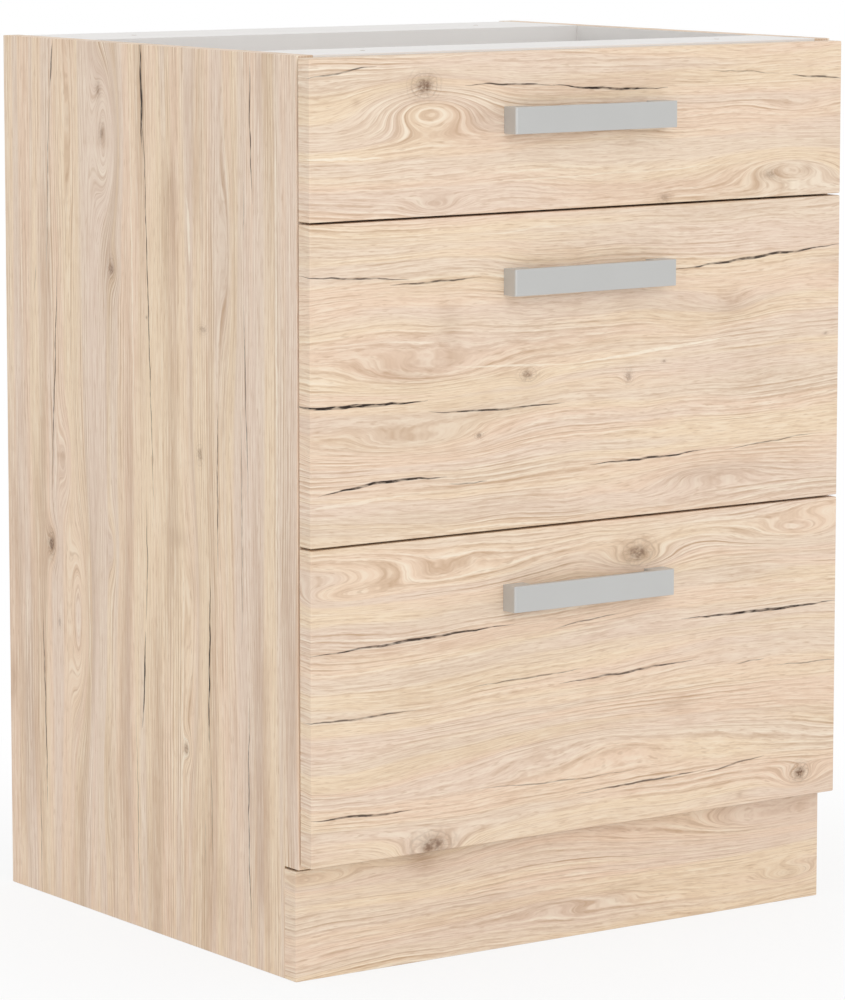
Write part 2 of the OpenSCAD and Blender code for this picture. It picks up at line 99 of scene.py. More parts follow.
# A stain is a brown haze: (along, height, reach along, reach up, strength)
FRONT_STAINS = (
    (-178, 790, 26, 13, 0.2), (-112, 760, 20, 10, 0.28), (215, 697, 14, 6, 0.36),
    (258, 701, 7, 4, 0.36), (92, 681, 8, 5, 0.3), (-165, 689, 22, 7, 0.22), (-250, 779, 4, 3, 0.3),
    (-150, 577, 12, 22, 0.3), (-190, 537, 34, 13, 0.28), (168, 580, 18, 14, 0.34),
    (-62, 527, 15, 12, 0.16), (150, 424, 60, 10, 0.3), (62, 358, 26, 14, 0.26),
    (106, 210, 28, 9, 0.26), (-168, 110, 28, 14, 0.26), (257, 129, 17, 13, 0.24),
    (184, 116, 4, 2.5, 0.35), (190, 514, 26, 3, 0.2),
)
PLINTH_STAINS = (
    (-165, 97, 18, 10, 0.34), (-160, 92, 32, 16, 0.26), (266, 26, 26, 8, 0.22),
    (60, 35, 16, 8, 0.2), (260, 92, 30, 8, 0.2), (40, 36, 200, 8, 0.12),
)
# A knot has a dark heart with rays round it, and the numbers of a stain
FRONT_KNOTS = (
    (-178, 791, 8.5, 7, 0.9), (62, 357, 11, 7.5, 0.7), (-170, 112, 14, 8, 0.75),
    (257, 129, 6.5, 5.5, 0.95), (-64, 529, 6, 4, 0.65), (50, 520, 3.4, 5, 0.55),
    (-118, 478, 3.2, 2.3, 0.7), (91, 531, 2.2, 1.4, 0.6), (283, 545, 2.2, 1.3, 0.5),
    (90, 681, 5, 3, 0.4), (214, 697, 7, 3, 0.4),
)
# A crack is dark and open: (along, height, half length, rise, bow, half width, darkness)
FRONT_CRACKS = (
    (-266, 805, 38, 5, 0, 0.8, 0.7), (-84, 790, 50, -1.5, -1.5, 0.8, 0.8),
    (28, 782, 66, -3.5, 2.5, 1.1, 0.95), (182, 793, 42, -3, 0, 0.5, 0.5),
    (272, 786, 34, -3, 0, 0.9, 0.7), (-255, 626, 62, -4, -1, 0.8, 0.75),
    (-165, 618, 50, 1, 1, 0.9, 0.75), (200, 621, 102, 7, 0, 1.2, 0.85),
    (-255, 513, 82, -1.5, 1, 1.5, 0.95), (-98, 500, 76, -1, 2, 0.9, 0.85),
    (-222, 444, 70, 3, -5, 1.3, 0.9), (-131, 436, 22, 0, 0, 0.7, 0.65),
    (74, 443, 68, 1.5, 1, 1.0, 0.85), (220, 448, 58, 4, 0, 0.6, 0.55),
    (-190, 300, 112, 4, 0, 1.2, 0.85), (3, 299, 38, 3.5, 0, 0.6, 0.55),
    (208, 289, 96, -0.5, 1, 1.3, 0.9), (52, 247, 80, 3, 0, 1.0, 0.75),
    (-62, 253, 62, 2, 0, 0.7, 0.55), (-250, 236, 64, 0.5, 0, 0.9, 0.7),
    (195, 242, 18, 1, 0, 0.6, 0.5), (265, 234, 42, -1, 0, 0.6, 0.5),
    (-245, 148, 55, -2, 0, 1.1, 0.8), (68, 142, 76, 2.5, 0, 0.9, 0.7),
    (178, 146, 36, 5, 0, 0.8, 0.6), (-28, 154, 88, -2, 2, 0.6, 0.5),
)
# A streak is a pale line, with the numbers of a crack
FRONT_STREAKS = (
    (-265, 730, 46, -1, 0, 1.3, 0.8), (40, 706, 150, 3, 0, 0.8, 0.5),
    (-60, 712, 60, 2, 0, 0.7, 0.5), (80, 542, 92, 7, 0, 1.5, 0.8), (-80, 538, 70, -3, 1, 0.9, 0.6),
    (-250, 428, 60, 3, 0, 1.6, 0.5), (230, 406, 90, 1, 0, 2.0, 0.4), (-60, 660, 60, 3, 0, 0.7, 0.5),
    (150, 380, 70, 1, 0, 1.0, 0.4),
)

# Grain of the sides, which runs upwards: places are (height, from front to back)
SIDE_SWELLS = (
    (732, 82, 72, 21, 44), (612, 70, 18, 10, 11), (425, 160, 44, 13, 18), (342, 184, 20, 11, 14),
    (275, 134, 105, 20, 34), (300, -62, 110, 14, 16), (350, 76, 34, 9, 11), (640, -122, 95, 13, 15),
    (120, 92, 70, 12, -9), (182, -52, 16, 8, 8), (760, 146, 170, 11, 13),
)
SIDE_STAINS = (
    (342, 188, 20, 10, 0.26), (606, 77, 20, 9, 0.2), (776, 97, 12, 6, 0.34), (738, 90, 12, 6, 0.36),
    (690, -28, 24, 14, 0.3), (640, -18, 60, 8, 0.24), (375, -38, 9, 22, 0.25),
    (338, -62, 22, 10, 0.22), (200, 263, 22, 6, 0.35), (748, 152, 10, 4, 0.28),
    (60, -110, 40, 26, 0.16), (350, 83, 24, 7, 0.2), (245, -180, 30, 5, 0.18),
    (600, -27, 230, 13, 0.16), (620, -116, 200, 13, 0.14), (485, -112, 10, 4, 0.2),
    (500, 236, 280, 8, 0.12), (380, 62, 300, 9, 0.08),
)
SIDE_KNOTS = (
    (342, 188, 7, 4.5, 0.95), (612, 76, 6, 4.5, 0.65), (736, 91, 6, 4, 0.5), (776, 97, 5, 3, 0.45),
    (455, -74, 6, 4, 0.55), (569, -80, 3, 6, 0.4), (182, -48, 6, 4, 0.6), (268, 175, 4, 2.5, 0.45),
    (572, 15, 1.5, 1.5, 0.6),
)
SIDE_CRACKS = (
    (775, 22, 52, 1.5, 0, 1.7, 1.0), (600, 13, 215, 8, 0, 0.75, 0.8),
    (752, -159, 66, 1, -2, 0.9, 0.8), (680, -148, 26, 0, 0, 0.5, 0.5),
    (510, -150, 88, 3, 0, 0.8, 0.65), (795, 181, 24, -4, 0, 1.0, 0.8),
    (690, 189, 90, -5, 0, 0.6, 0.6), (500, 180, 108, -7, 0, 0.9, 0.8),
    (592, 214, 14, -1, 0, 0.5, 0.45), (425, -103, 78, -1, -1, 0.9, 0.75),
    (395, -143, 108, 0, 1, 0.6, 0.55), (262, -88, 84, -2, 0, 1.2, 0.9),
    (345, 17, 58, -1, 2, 0.7, 0.65), (235, 24, 46, -3, 0, 1.2, 0.9), (100, 36, 104, 1, 2, 0.6, 0.5),
    (140, -152, 106, 1, -3, 0.9, 0.7), (130, -91, 52, 1, 0, 0.6, 0.5),
    (180, 203, 98, 3, 0, 0.9, 0.75), (60, 213, 62, 0, 0, 0.6, 0.5),
    (100, -79, 22, -1, 0, 0.5, 0.45),
)
SIDE_STREAKS = (
    (560, -200, 250, 1, 0, 1.4, 0.5), (620, 40, 190, 2, 0, 1.2, 0.5),
    (655, -57, 32, 2, 0, 2.2, 0.7), (300, 120, 150, 1, 0, 1.0, 0.5),
    (120, -40, 120, 2, 0, 1.2, 0.5),
)

# Kinds of nodes that are added often, and a setting of one
MATH = "ShaderNodeMath"
VECTOR = "ShaderNodeVectorMath"
RANGE = "ShaderNodeMapRange"
NOISE = "ShaderNodeTexNoise"
JOIN = "ShaderNodeCombineXYZ"
SPLIT = "ShaderNodeSeparateXYZ"
SMOOTH = {"interpolation_type": "SMOOTHSTEP"}

# Seeds of the prints' noise
FRONT_SEED = 3.0
SIDE_SEED = 8.0
# A round mark reaches right through the board, and the pore press has this depth, in millimetres
THROUGH = 1e6
PRESS_DEPTH = 0.06
# Points nearer than MERGED are one, faces within ONE_FACE are one, edges above CORNER are
# rounded, and edges above CREASE or SCREW_CREASE stay sharp in the shading
MERGED = 0.002 * MM
ONE_FACE = math.radians(0.4)
CORNER = math.radians(35)
CREASE = math.radians(32)
SCREW_CREASE = math.radians(30)
# Shorter edges keep their corner, so that the rims of small holes stay as they are
BOARD_RIM = 6 * MM
THIN_BOARD_RIM = 2.5 * MM
BRACKET_RIM = 1 * MM
# Shares of a named radius, for the edges of the white boards and the dowels
WHITE_BOARD_SHARE = 0.6
DOWEL_SHARE = 2
# The share of X in the normal of a face that looks across the cabinet
ACROSS = 0.9
# A level of a screw's points is the head's when it is wider than this share of the head
HEAD_SHARE = 0.9
# Lengths of a screw, as shares of its sizes, and the width of the head's top
SCREW_SHARES = {
    "head": ("Head diameter", 0.5), "drum": ("Head height", 0.55), "cone": ("Head height", 0.45),
    "drum middle": ("Head height", -0.275), "top": ("Head height", -1.0),
    "shank": ("Shank diameter", 0.5), "shank middle": ("Shank length", 0.5),
    "bar": ("Head diameter", 0.6), "bar depth": ("Recess depth", 2.0),
}
CROWN_SHARE = 0.68
# Half the floor's width, and its drop below the cabinet, so that the two planes don't meet
FLOOR_REACH = 8.0
FLOOR_DROP = 0.2 * MM
# Place and width of the lamps in metres, and the camera's sensor in millimetres
LAMPS = {"key": ((-0.7, -3.4, 1.6), 2.4), "fill": ((-3.4, -0.6, 1.6), 2.2)}
SENSOR = 36.0


def linear(code):
    """The linear colour of an sRGB hex code, with full alpha."""
    parts = [int(code[i:i + 2], 16) / 255 for i in (1, 3, 5)]
    return [p / 12.92 if p <= 0.04045 else ((p + 0.055) / 1.055) ** 2.4 for p in parts] + [1.0]


def colour(name, code, description):
    """A colour property whose default is the hex code."""
    return FloatVectorProperty(
        name=name, description=description, subtype="COLOR", size=4, min=0, max=1,
        default=linear(code))


def length(name, value, description):
    """A length property, in metres."""
    return FloatProperty(
        name=name, description=description, default=value, min=0, unit="LENGTH", precision=5)


class CabinetColours(bpy.types.PropertyGroup):
    """Colours of the cabinet's finishes"""
    oak_cream: colour("Oak, cream", "#EED7BA", "Light bands of the printed oak")
    oak_rose: colour("Oak, rose", "#ECD1B9", "Pinkish bands of the printed oak")
    oak_grey: colour("Oak, grey", "#E4D1C2", "Greyish bands of the printed oak")
    oak_pale: colour("Oak, early wood", "#F8ECD8", "Pale early wood and streaks")
    oak_line: colour("Oak, rings", "#C09F80", "Late wood of the growth rings")
    oak_haze: colour("Oak, haze", "#B08F73", "Brown haze round the knots")
    oak_heart: colour("Oak, knots", "#6C4B33", "Hearts of the knots and their rays")
    oak_dark: colour("Oak, cracks", "#29170B", "Open cracks")
    white: colour("White board", "#EBE8E5", "Melamine face of the boards inside")
    core: colour("Board core", "#C6A987", "Cut particle board, seen in holes and grooves")
    silver: colour("Handle", "#C5C5C3", "Satin lacquer of the handles")
    steel: colour("Drawer steel", "#D3D5D7", "Powder coat of the drawer sides and runners")
    zinc: colour("Zinc", "#C4C7CB", "Zinc plating of screws and cams")
    nylon: colour("Nylon", "#ECECE8", "Moulded rollers, sockets and brackets")
    beech: colour("Beech", "#CFA876", "Bare wood of the dowels")
    floor: colour("Floor", "#F4F4F4", "Plain studio floor")


class CabinetSizes(bpy.types.PropertyGroup):
    """Edges and patterns of the cabinet's finishes"""
    board_edge: length("Board edge", 0.7 * MM, "Radius of the boards' edges")
    front_edge: length("Front edge", 1.2 * MM, "Radius of the drawer fronts' edges")
    handle_edge: length("Handle edge", 1.6 * MM, "Radius of the handles' edges")
    steel_edge: length("Sheet edge", 0.2 * MM, "Radius of the sheet steel's edges")
    moulded_edge: length("Moulded edge", 0.35 * MM, "Radius of the moulded pieces' edges")
    ring_gap: length("Ring gap", 4.7 * MM, "Distance between strong growth rings")
    fine_ring_gap: length("Fine ring gap", 2.1 * MM, "Distance between weak growth rings")
    recess_width: length("Recess width", 1.1 * MM, "Width of the cross in the screw heads")
    recess_depth: length("Recess depth", 0.9 * MM, "Depth of the cross in the screw heads")
    turn_seed: IntProperty(
        name="Turn seed", description="Seed of the screw heads' turning", default=3, min=0)


class CabinetStudio(bpy.types.PropertyGroup):
    """Camera and lights"""
    camera_place: FloatVectorProperty(
        name="Camera place", description="Where the camera stands", subtype="XYZ", size=3,
        unit="LENGTH", default=(-2.5555, -3.6187, 1.0122))
    camera_yaw: FloatProperty(
        name="Yaw", description="Turn of the view from straight behind the front",
        subtype="ANGLE", default=0.6144)
    camera_pitch: FloatProperty(
        name="Pitch", description="Tilt of the view below the horizon", subtype="ANGLE",
        default=0.1288)
    lens: FloatProperty(
        name="Lens", description="Focal length on a 36 mm sensor", default=169.3, min=1,
        unit="CAMERA")
    rise: FloatProperty(
        name="Shift", description="Lens shift that keeps the cabinet's uprights nearly parallel",
        default=-0.06)
    sky: FloatProperty(
        name="Sky", description="Strength of the even white light from all round", default=0.86,
        min=0)
    key: FloatProperty(
        name="Key lamp", description="Power of the lamp before the fronts", default=22, min=0,
        unit="POWER")
    fill: FloatProperty(
        name="Fill lamp", description="Power of the lamp beside the left side", default=6,
        min=0, unit="POWER")


def add(tree, kind, inputs=(), operation=None, **settings):
    """Adds a node, makes its settings, sets or links its inputs and gives back its outputs.

    inputs is a list in the node's order, or a dictionary of single ones.
    """
    node = tree.nodes.new(kind)
    if operation:
        node.operation = operation
    for name, value in settings.items():
        setattr(node, name, value)
    for key, value in inputs.items() if isinstance(inputs, dict) else enumerate(inputs):
        if isinstance(value, bpy.types.NodeSocket):
            tree.links.new(value, node.inputs[key])
        else:
            node.inputs[key].default_value = value
    return node.outputs


def group(name, sockets, result=("Value", "Float"), kind="ShaderNodeTree"):
    """An empty node group with named inputs and one result: its tree, inputs and output."""
    tree = bpy.data.node_groups.new(name, kind)
    for label, socket in sockets:
        tree.interface.new_socket(name=label, in_out="INPUT", socket_type="NodeSocket" + socket)
    tree.interface.new_socket(name=result[0], in_out="OUTPUT", socket_type="NodeSocket" + result[1])
    return tree, tree.nodes.new("NodeGroupInput").outputs, tree.nodes.new("NodeGroupOutput").inputs


def spot_group(name):
    """A group for a round mark, which also gives the place as a share of the mark's reach."""
    tree, given, out = group(
        name, [("Place", "Vector"), ("Middle", "Vector"), ("Reach", "Vector"),
               ("Strength", "Float")])
    away = add(tree, VECTOR, [given["Place"], given["Middle"]], "SUBTRACT")[0]
    ratio = add(tree, VECTOR, [away, given["Reach"]], "DIVIDE")[0]
    return tree, given, out, ratio


def swell_group():
    """Round bump: the strength times e to the minus square of the distance."""
    tree, given, out, ratio = spot_group("Swell")
    square = add(tree, VECTOR, [ratio, ratio], "DOT_PRODUCT")[1]
    below = add(tree, MATH, [square, -1.0], "MULTIPLY")[0]
    fall = add(tree, MATH, [below], "EXPONENT")[0]
    value = add(tree, MATH, [fall, given["Strength"]], "MULTIPLY")[0]
    tree.links.new(value, out[0])
    return tree


def knot_heart(tree, own, uneven):
    """The mottled heart of a knot, with dark specks."""
    speck = add(tree, NOISE, {"Vector": own, "Scale": 2.6, "Detail": 3.0})[0]
    speck = add(tree, RANGE, [speck, 0.36, 0.6, 0.45, 1.0])[0]
    core = add(tree, RANGE, [uneven, 1.95, 0.9], **SMOOTH)[0]
    return add(tree, MATH, [core, speck], "MULTIPLY")[0]


def knot_group():
    """A knot: its heart, thin rings that hug it, and rays that thin out."""
    tree, given, out, ratio = spot_group("Knot")
    # The knot's own place makes its specks and rays differ from those of the others
    own = add(tree, VECTOR, [ratio, given["Middle"]], "ADD")[0]
    bent = add(tree, NOISE, {"Vector": own, "Scale": 0.8, "Detail": 2.0})[0]
    far = add(tree, VECTOR, [ratio], "LENGTH")[1]
    uneven = add(tree, MATH, [bent, 1.1, far], "MULTIPLY_ADD")[0]
    wave = add(tree, MATH, [uneven, 9.5], "MULTIPLY")[0]
    wave = add(tree, MATH, [wave], "SINE")[0]
    wave = add(tree, RANGE, [wave, 0.1, 1.0])[0]
    way = add(tree, VECTOR, [ratio], "NORMALIZE")[0]
    way = add(tree, VECTOR, [way, given["Middle"]], "ADD")[0]
    ray = add(tree, NOISE, {"Vector": way, "Scale": 4.0, "Detail": 2.0})[0]
    ray = add(tree, RANGE, [ray, 0.42, 0.66])[0]

    # Rays and rings fade outwards: (mark, where it ends, where it is full, strength)
    value = knot_heart(tree, own, uneven)
    for mark, end, full, most in ((ray, 2.4, 0.6, 0.5), (wave, 2.9, 1.0, 0.34)):
        fall = add(tree, RANGE, [far, end, full, 0.0, most], **SMOOTH)[0]
        mark = add(tree, MATH, [mark, fall], "MULTIPLY")[0]
        value = add(tree, MATH, [value, mark], "MAXIMUM")[0]
    value = add(tree, MATH, [value, given["Strength"]], "MULTIPLY")[0]
    tree.links.new(value, out[0])
    return tree


def crack_group():
    """A thin crack along the grain, pointed at both ends, that may rise and bow."""
    tree, given, out = group(
        "Crack", [("Place", "Vector"), ("Middle", "Vector"), ("Half length", "Float"),
                  ("Rise", "Float"), ("Bow", "Float"), ("Half width", "Float"),
                  ("Darkness", "Float")])
    away = add(tree, VECTOR, [given["Place"], given["Middle"]], "SUBTRACT")[0]
    split = add(tree, SPLIT, [away])
    along = add(tree, MATH, [split[0], given["Half length"]], "DIVIDE")[0]
    slope = add(tree, MATH, [along, given["Bow"], given["Rise"]], "MULTIPLY_ADD")[0]
    line = add(tree, MATH, [along, slope], "MULTIPLY")[0]
    off = add(tree, MATH, [split[1], line], "SUBTRACT")[0]
    off = add(tree, MATH, [off], "ABSOLUTE")[0]
    square = add(tree, MATH, [along, along], "MULTIPLY")[0]
    taper = add(tree, MATH, [1.0, square], "SUBTRACT")[0]
    wide = add(tree, MATH, [taper, given["Half width"]], "MULTIPLY")[0]
    inside = add(tree, MATH, [wide, off], "SUBTRACT")[0]
    mark = add(tree, RANGE, [inside, -0.25, 0.25, 0.0, given["Darkness"]])[0]
    # The soft edge would leave a hair beyond the pointed ends, so it stops there
    shown = add(tree, MATH, [taper, 0.02], "GREATER_THAN")[0]
    value = add(tree, MATH, [mark, shown], "MULTIPLY")[0]
    tree.links.new(value, out[0])
    return tree


MARK_GROUPS = {"Swell": swell_group, "Knot": knot_group, "Crack": crack_group}


def summed(tree, place, kind, rows, operation):
    """One mark of the kind for each row of (middle, middle, sizes...), joined by the operation."""
    shared = bpy.data.node_groups.get(kind) or MARK_GROUPS[kind]()
    total = None
    for along, across, *sizes in rows:
        inputs = {"Place": place, "Middle": (along, across, 0)}
        if kind == "Crack":
            inputs.update(zip(("Half length", "Rise", "Bow", "Half width", "Darkness"), sizes))
        else:
            inputs.update({"Reach": (*sizes[:2], THROUGH), "Strength": sizes[2]})
        value = add(tree, "ShaderNodeGroup", inputs, node_tree=shared)[0]
        total = value if total is None else add(tree, MATH, [total, value], operation)[0]
    return total


def material(name):
    """An empty procedural material: gives it, its tree and its output node's surface input."""
    made = bpy.data.materials.new(name)
    made.use_nodes = True
    made.node_tree.nodes.clear()
    return made, made.node_tree, made.node_tree.nodes.new("ShaderNodeOutputMaterial").inputs[0]


def place_in_mm(tree):
    """The object's own coordinates in millimetres, and its own normal."""
    own = add(tree, "ShaderNodeTexCoord")
    scaled = add(tree, VECTOR, {0: own["Object"], "Scale": 1 / MM}, "SCALE")[0]
    return scaled, own["Normal"]


def grain_place(tree, along, across, depth_of):
    """Where a point lies on the printed sheet: the print goes on round the edges.

    along and across are axis numbers, and depth_of turns the split coordinates into the depth
    behind the printed face. The result is (along the grain, across the grain, 0).
    """
    place, normal = place_in_mm(tree)
    depth = depth_of(tree, add(tree, SPLIT, [place]))
    wrap = add(tree, VECTOR, {0: normal, "Scale": depth}, "SCALE")[0]
    spread = add(tree, VECTOR, [place, wrap], "ADD")[0]
    split = add(tree, SPLIT, [spread])
    return add(tree, JOIN, [split[along], split[across]])[0]


def behind_face(face):
    """Depth behind a face that looks along -Y."""
    return lambda tree, split: add(tree, MATH, [split[1], face], "SUBTRACT")[0]


def behind_side(tree, split):
    """Depth behind the outer face of either side."""
    reach = add(tree, MATH, [split[0]], "ABSOLUTE")[0]
    return add(tree, MATH, [HALF_WIDTH, reach], "SUBTRACT")[0]


def noise(tree, place, period, detail=2.0, shift=0.0, roughness=0.5):
    """Smooth noise whose features are about period long, along and across the grain."""
    at = add(tree, VECTOR,
             [place, (1 / period[0], 1 / period[1], 1), (shift, shift * 0.7, 0)],
             "MULTIPLY_ADD")[0]
    return add(tree, NOISE,
               {"Vector": at, "Scale": 1.0, "Detail": detail, "Roughness": roughness},
               noise_dimensions="2D")[0]


def patches(tree, place, period, detail, shift, limits, fall="LINEAR"):
    """Noise as a share: limits are (from low, from high), and (to low, to high) if not 0 to 1."""
    return add(tree, RANGE, [noise(tree, place, period, detail, shift), *limits],
               interpolation_type=fall)[0]


def rings(tree, field, gap, shift):
    """Growth rings: pale early wood that darkens slowly and ends sharply in a dark line.

    Each ring has its own strength. The result is the dark part and the pale part.
    """
    count = add(tree, MATH, [field, 1 / gap, shift], "MULTIPLY_ADD")[0]
    number = add(tree, MATH, [count], "FLOOR")[0]
    share = add(tree, MATH, [count, number], "SUBTRACT")[0]
    own = add(tree, "ShaderNodeTexWhiteNoise", {"W": number}, noise_dimensions="1D")[0]
    own = add(tree, RANGE, {0: own, 3: 0.3, 4: 1.0})[0]
    parts = []
    for slow, quick in (((0.52, 0.88), (1.0, 0.92)), ((0.45, 0.1), (0.0, 0.08))):
        part = own
        for limits in (slow, quick):
            edge = add(tree, RANGE, [share, *limits], **SMOOTH)[0]
            part = add(tree, MATH, [part, edge], "MULTIPLY")[0]
        parts.append(part)
    return parts


def mixed(tree, factor, low, high):
    """A colour between low and high."""
    return add(tree, "ShaderNodeMix", {0: factor, 6: low, 7: high}, data_type="RGBA")[2]


def ring_field(tree, flat, swells, seed, stretch, calm):
    """The field whose level lines are the growth rings, and the flow (along, field, 0)."""
    split = add(tree, SPLIT, [flat])
    field = split[1]
    # Long waves, short waves and a fine crinkle: (period, height) in millimetres
    for period, height in (((330, 120), 30.0), ((95, 34), 5.5), ((17, 7), 0.7)):
        wave = noise(tree, flat, (period[0] * stretch, period[1]), 1.0, seed + height)
        field = add(tree, MATH, [wave, height * calm, field], "MULTIPLY_ADD")[0]
    push = summed(tree, flat, "Swell", swells, "ADD")
    field = add(tree, MATH, [field, push], "ADD")[0]
    # Wide and narrow rings come in turns
    level = add(tree, JOIN, [split[0], field])[0]
    uneven = noise(tree, level, (900, 14), 1.0, seed + 2)
    field = add(tree, MATH, [uneven, 8.0, field], "MULTIPLY_ADD")[0]
    return field, add(tree, JOIN, [split[0], field])[0]


def banded(tree, flow, seed, stretch, grey, tan):
    """The ground of the print: cream, rose, grey and tan bands."""
    colours = bpy.context.scene.cabinet_colours
    paint = colours.oak_cream
    for other, period, detail, shift, limits in (
            (colours.oak_rose, (420, 30), 2.0, 11, (0.36, 0.64)),
            (colours.oak_grey, (560, 22), 1.0, 61, (0.42, 0.62, 0.0, grey)),
            (colours.oak_haze, (260, 32), 2.0, 83, (0.48, 0.72, 0.0, tan))):
        share = patches(tree, flow, (period[0] * stretch, period[1]), detail, seed + shift,
                        limits, "SMOOTHSTEP")
        paint = mixed(tree, share, paint, other)
    return paint


def ringed(tree, paint, flat, field, flow, fibre, seed, stretch, strength, coarse):
    """Growth rings, strong ones in some places only, and calm places without either."""
    colours, sizes = bpy.context.scene.cabinet_colours, bpy.context.scene.cabinet_sizes
    where = patches(tree, flow, (190 * stretch, 40), 1.0, seed + 23, (0.36, 0.62, 0.4, 1.0))
    quiet = patches(tree, flat, (150 * stretch, 46), 2.0, seed + 71, (0.38, 0.6, 1.15, 0.45))
    wide = rings(tree, field, sizes.ring_gap / MM * coarse, seed)
    fine = rings(tree, field, sizes.fine_ring_gap / MM * coarse, seed + 3)
    # The pale and then the dark part: (part, shares of wide rings, fine rings and fibres, colour)
    for part, wide_share, fine_share, fibre_share, line in (
            (1, 0.5, 0.22, -0.5, colours.oak_pale), (0, 0.68, 0.22, 0.46, colours.oak_line)):
        total = add(tree, MATH, [wide[part], where], "MULTIPLY")[0]
        total = add(tree, MATH, [total, wide_share * strength], "MULTIPLY")[0]
        total = add(tree, MATH, [fine[part], fine_share * strength, total], "MULTIPLY_ADD")[0]
        total = add(tree, MATH, [total, quiet], "MULTIPLY")[0]
        total = add(tree, MATH, [fibre, fibre_share * strength, total],
                    "MULTIPLY_ADD", use_clamp=True)[0]
        paint = mixed(tree, total, paint, line)
    return paint


def wavering(tree, flat, seed):
    """Where thin lines are looked up, so that they waver, and how strong they are there."""
    waver = noise(tree, flat, (34, 60), 2.0, seed + 41)
    waver = add(tree, MATH, [waver, 4.0, -2.0], "MULTIPLY_ADD")[0]
    moved = add(tree, JOIN, {1: waver})[0]
    moved = add(tree, VECTOR, [flat, moved], "ADD")[0]
    return moved, patches(tree, flat, (14, 3), 2.0, seed + 47, (0.34, 0.56, 0.5, 1.1))


def lined(tree, paint, moved, patchy, rows, line):
    """Thin lines of one colour at the moved places, broken up by the patches."""
    if not rows:
        return paint
    lines = summed(tree, moved, "Crack", rows, "MAXIMUM")
    lines = add(tree, MATH, [lines, patchy], "MULTIPLY")[0]
    return mixed(tree, lines, paint, line)


def stained(tree, paint, flat, fibre, stains, knots):
    """Brown haze, broken up by the fibres, and the knots."""
    colours = bpy.context.scene.cabinet_colours
    haze = summed(tree, flat, "Swell", stains, "ADD")
    broken = add(tree, RANGE, [fibre, -0.4, 0.4, 0.65, 1.3])[0]
    haze = add(tree, MATH, [haze, broken], "MULTIPLY", use_clamp=True)[0]
    paint = mixed(tree, haze, paint, colours.oak_haze)
    return mixed(tree, summed(tree, flat, "Knot", knots, "MAXIMUM"), paint, colours.oak_heart)


def pressed_board(tree, paint, flat, seed):
    """The shader of the printed board, whose pore press runs straight along the grain."""
    press = noise(tree, flat, (22, 0.8), 2.0, seed + 53, 0.6)
    normal = add(tree, "ShaderNodeBump",
                 {"Strength": 0.35, "Distance": PRESS_DEPTH * MM, "Height": press})[0]
    rough = add(tree, RANGE, [press, 0.3, 0.7, 0.46, 0.62])[0]
    return add(tree, "ShaderNodeBsdfPrincipled",
               {"Base Color": paint, "Roughness": rough, "IOR": 1.5,
                "Specular IOR Level": 0.35, "Normal": normal})[0]


def oak_decor(name, axes, depth_of, marks, seed, strength=1.0, stretch=1.0, calm=1.0, coarse=1.0,
              grey=0.5, tan=0.15):
    """Melamine-faced board with a printed pale oak and a pore press, matt like dry wood.

    axes are those along and across the grain, and marks the lists of swells, stains, knots,
    cracks and streaks. A calm below one makes the rings straighter, coarse spreads them, and
    stretch draws the figure out along the grain. grey and tan are shares of those bands.
    """
    colours = bpy.context.scene.cabinet_colours
    swells, stains, knots, cracks, streaks = marks
    made, tree, surface = material(name)
    flat = grain_place(tree, *axes, depth_of)
    field, flow = ring_field(tree, flat, swells, seed, stretch, calm)
    fibre = noise(tree, flow, (34 * stretch, 1.6), 3.0, seed + 17, 0.72)
    fibre = add(tree, RANGE, [fibre, 0.3, 0.7, -0.5, 0.5], clamp=False)[0]
    paint = banded(tree, flow, seed, stretch, grey, tan)
    paint = ringed(tree, paint, flat, field, flow, fibre, seed, stretch, strength, coarse)
    # Pores: short dark dashes along the flow
    pore = patches(tree, flow, (15, 0.9), 1.0, seed + 31, (0.62, 0.76, 0.0, 0.42))
    paint = mixed(tree, pore, paint, colours.oak_line)
    moved, patchy = wavering(tree, flat, seed)
    paint = lined(tree, paint, moved, patchy, streaks, colours.oak_pale)
    paint = stained(tree, paint, flat, fibre, stains, knots)
    paint = lined(tree, paint, moved, patchy, cracks, colours.oak_dark)
    tree.links.new(pressed_board(tree, paint, flat, seed), surface)
    return made


def plain_finish(name, paint, roughness, grain=0.8, depth=0.02, mottle=0.04, metallic=0.0,
                 specular=0.5):
    """A finish of one colour with a fine grain: its relief, its sheen and a slight mottle.

    grain is the size of the relief and depth its height, both in millimetres.
    """
    made, tree, surface = material(name)
    paint = list(getattr(bpy.context.scene.cabinet_colours, paint))
    place, _ = place_in_mm(tree)
    fine = add(tree, NOISE, {"Vector": place, "Scale": 1 / grain, "Detail": 2.0})[0]
    broad = add(tree, NOISE, {"Vector": place, "Scale": 1 / 60, "Detail": 2.0})[0]
    darker = [c * (1 - 2 * mottle) for c in paint[:3]] + [1.0]
    tone = add(tree, RANGE, [broad, 0.35, 0.65])[0]
    shade = mixed(tree, tone, darker, paint)
    sheen = add(tree, RANGE, [fine, 0.3, 0.7, roughness - 0.05, roughness + 0.05])[0]
    normal = add(tree, "ShaderNodeBump", {"Strength": 0.4, "Distance": depth * MM,
                                          "Height": fine})[0]
    shader = add(tree, "ShaderNodeBsdfPrincipled",
                 {"Base Color": shade, "Roughness": sheen, "Metallic": metallic,
                  "Specular IOR Level": specular, "Normal": normal})[0]
    tree.links.new(shader, surface)
    return made


def printed_oak_fronts(name):
    """Printed oak of the drawer fronts, with the grain across the cabinet."""
    marks = (FRONT_SWELLS, FRONT_STAINS, FRONT_KNOTS, FRONT_CRACKS, FRONT_STREAKS)
    return oak_decor(name, (0, 2), behind_face(FRONT_FACE), marks, FRONT_SEED, strength=1.12,
                     coarse=1.2)


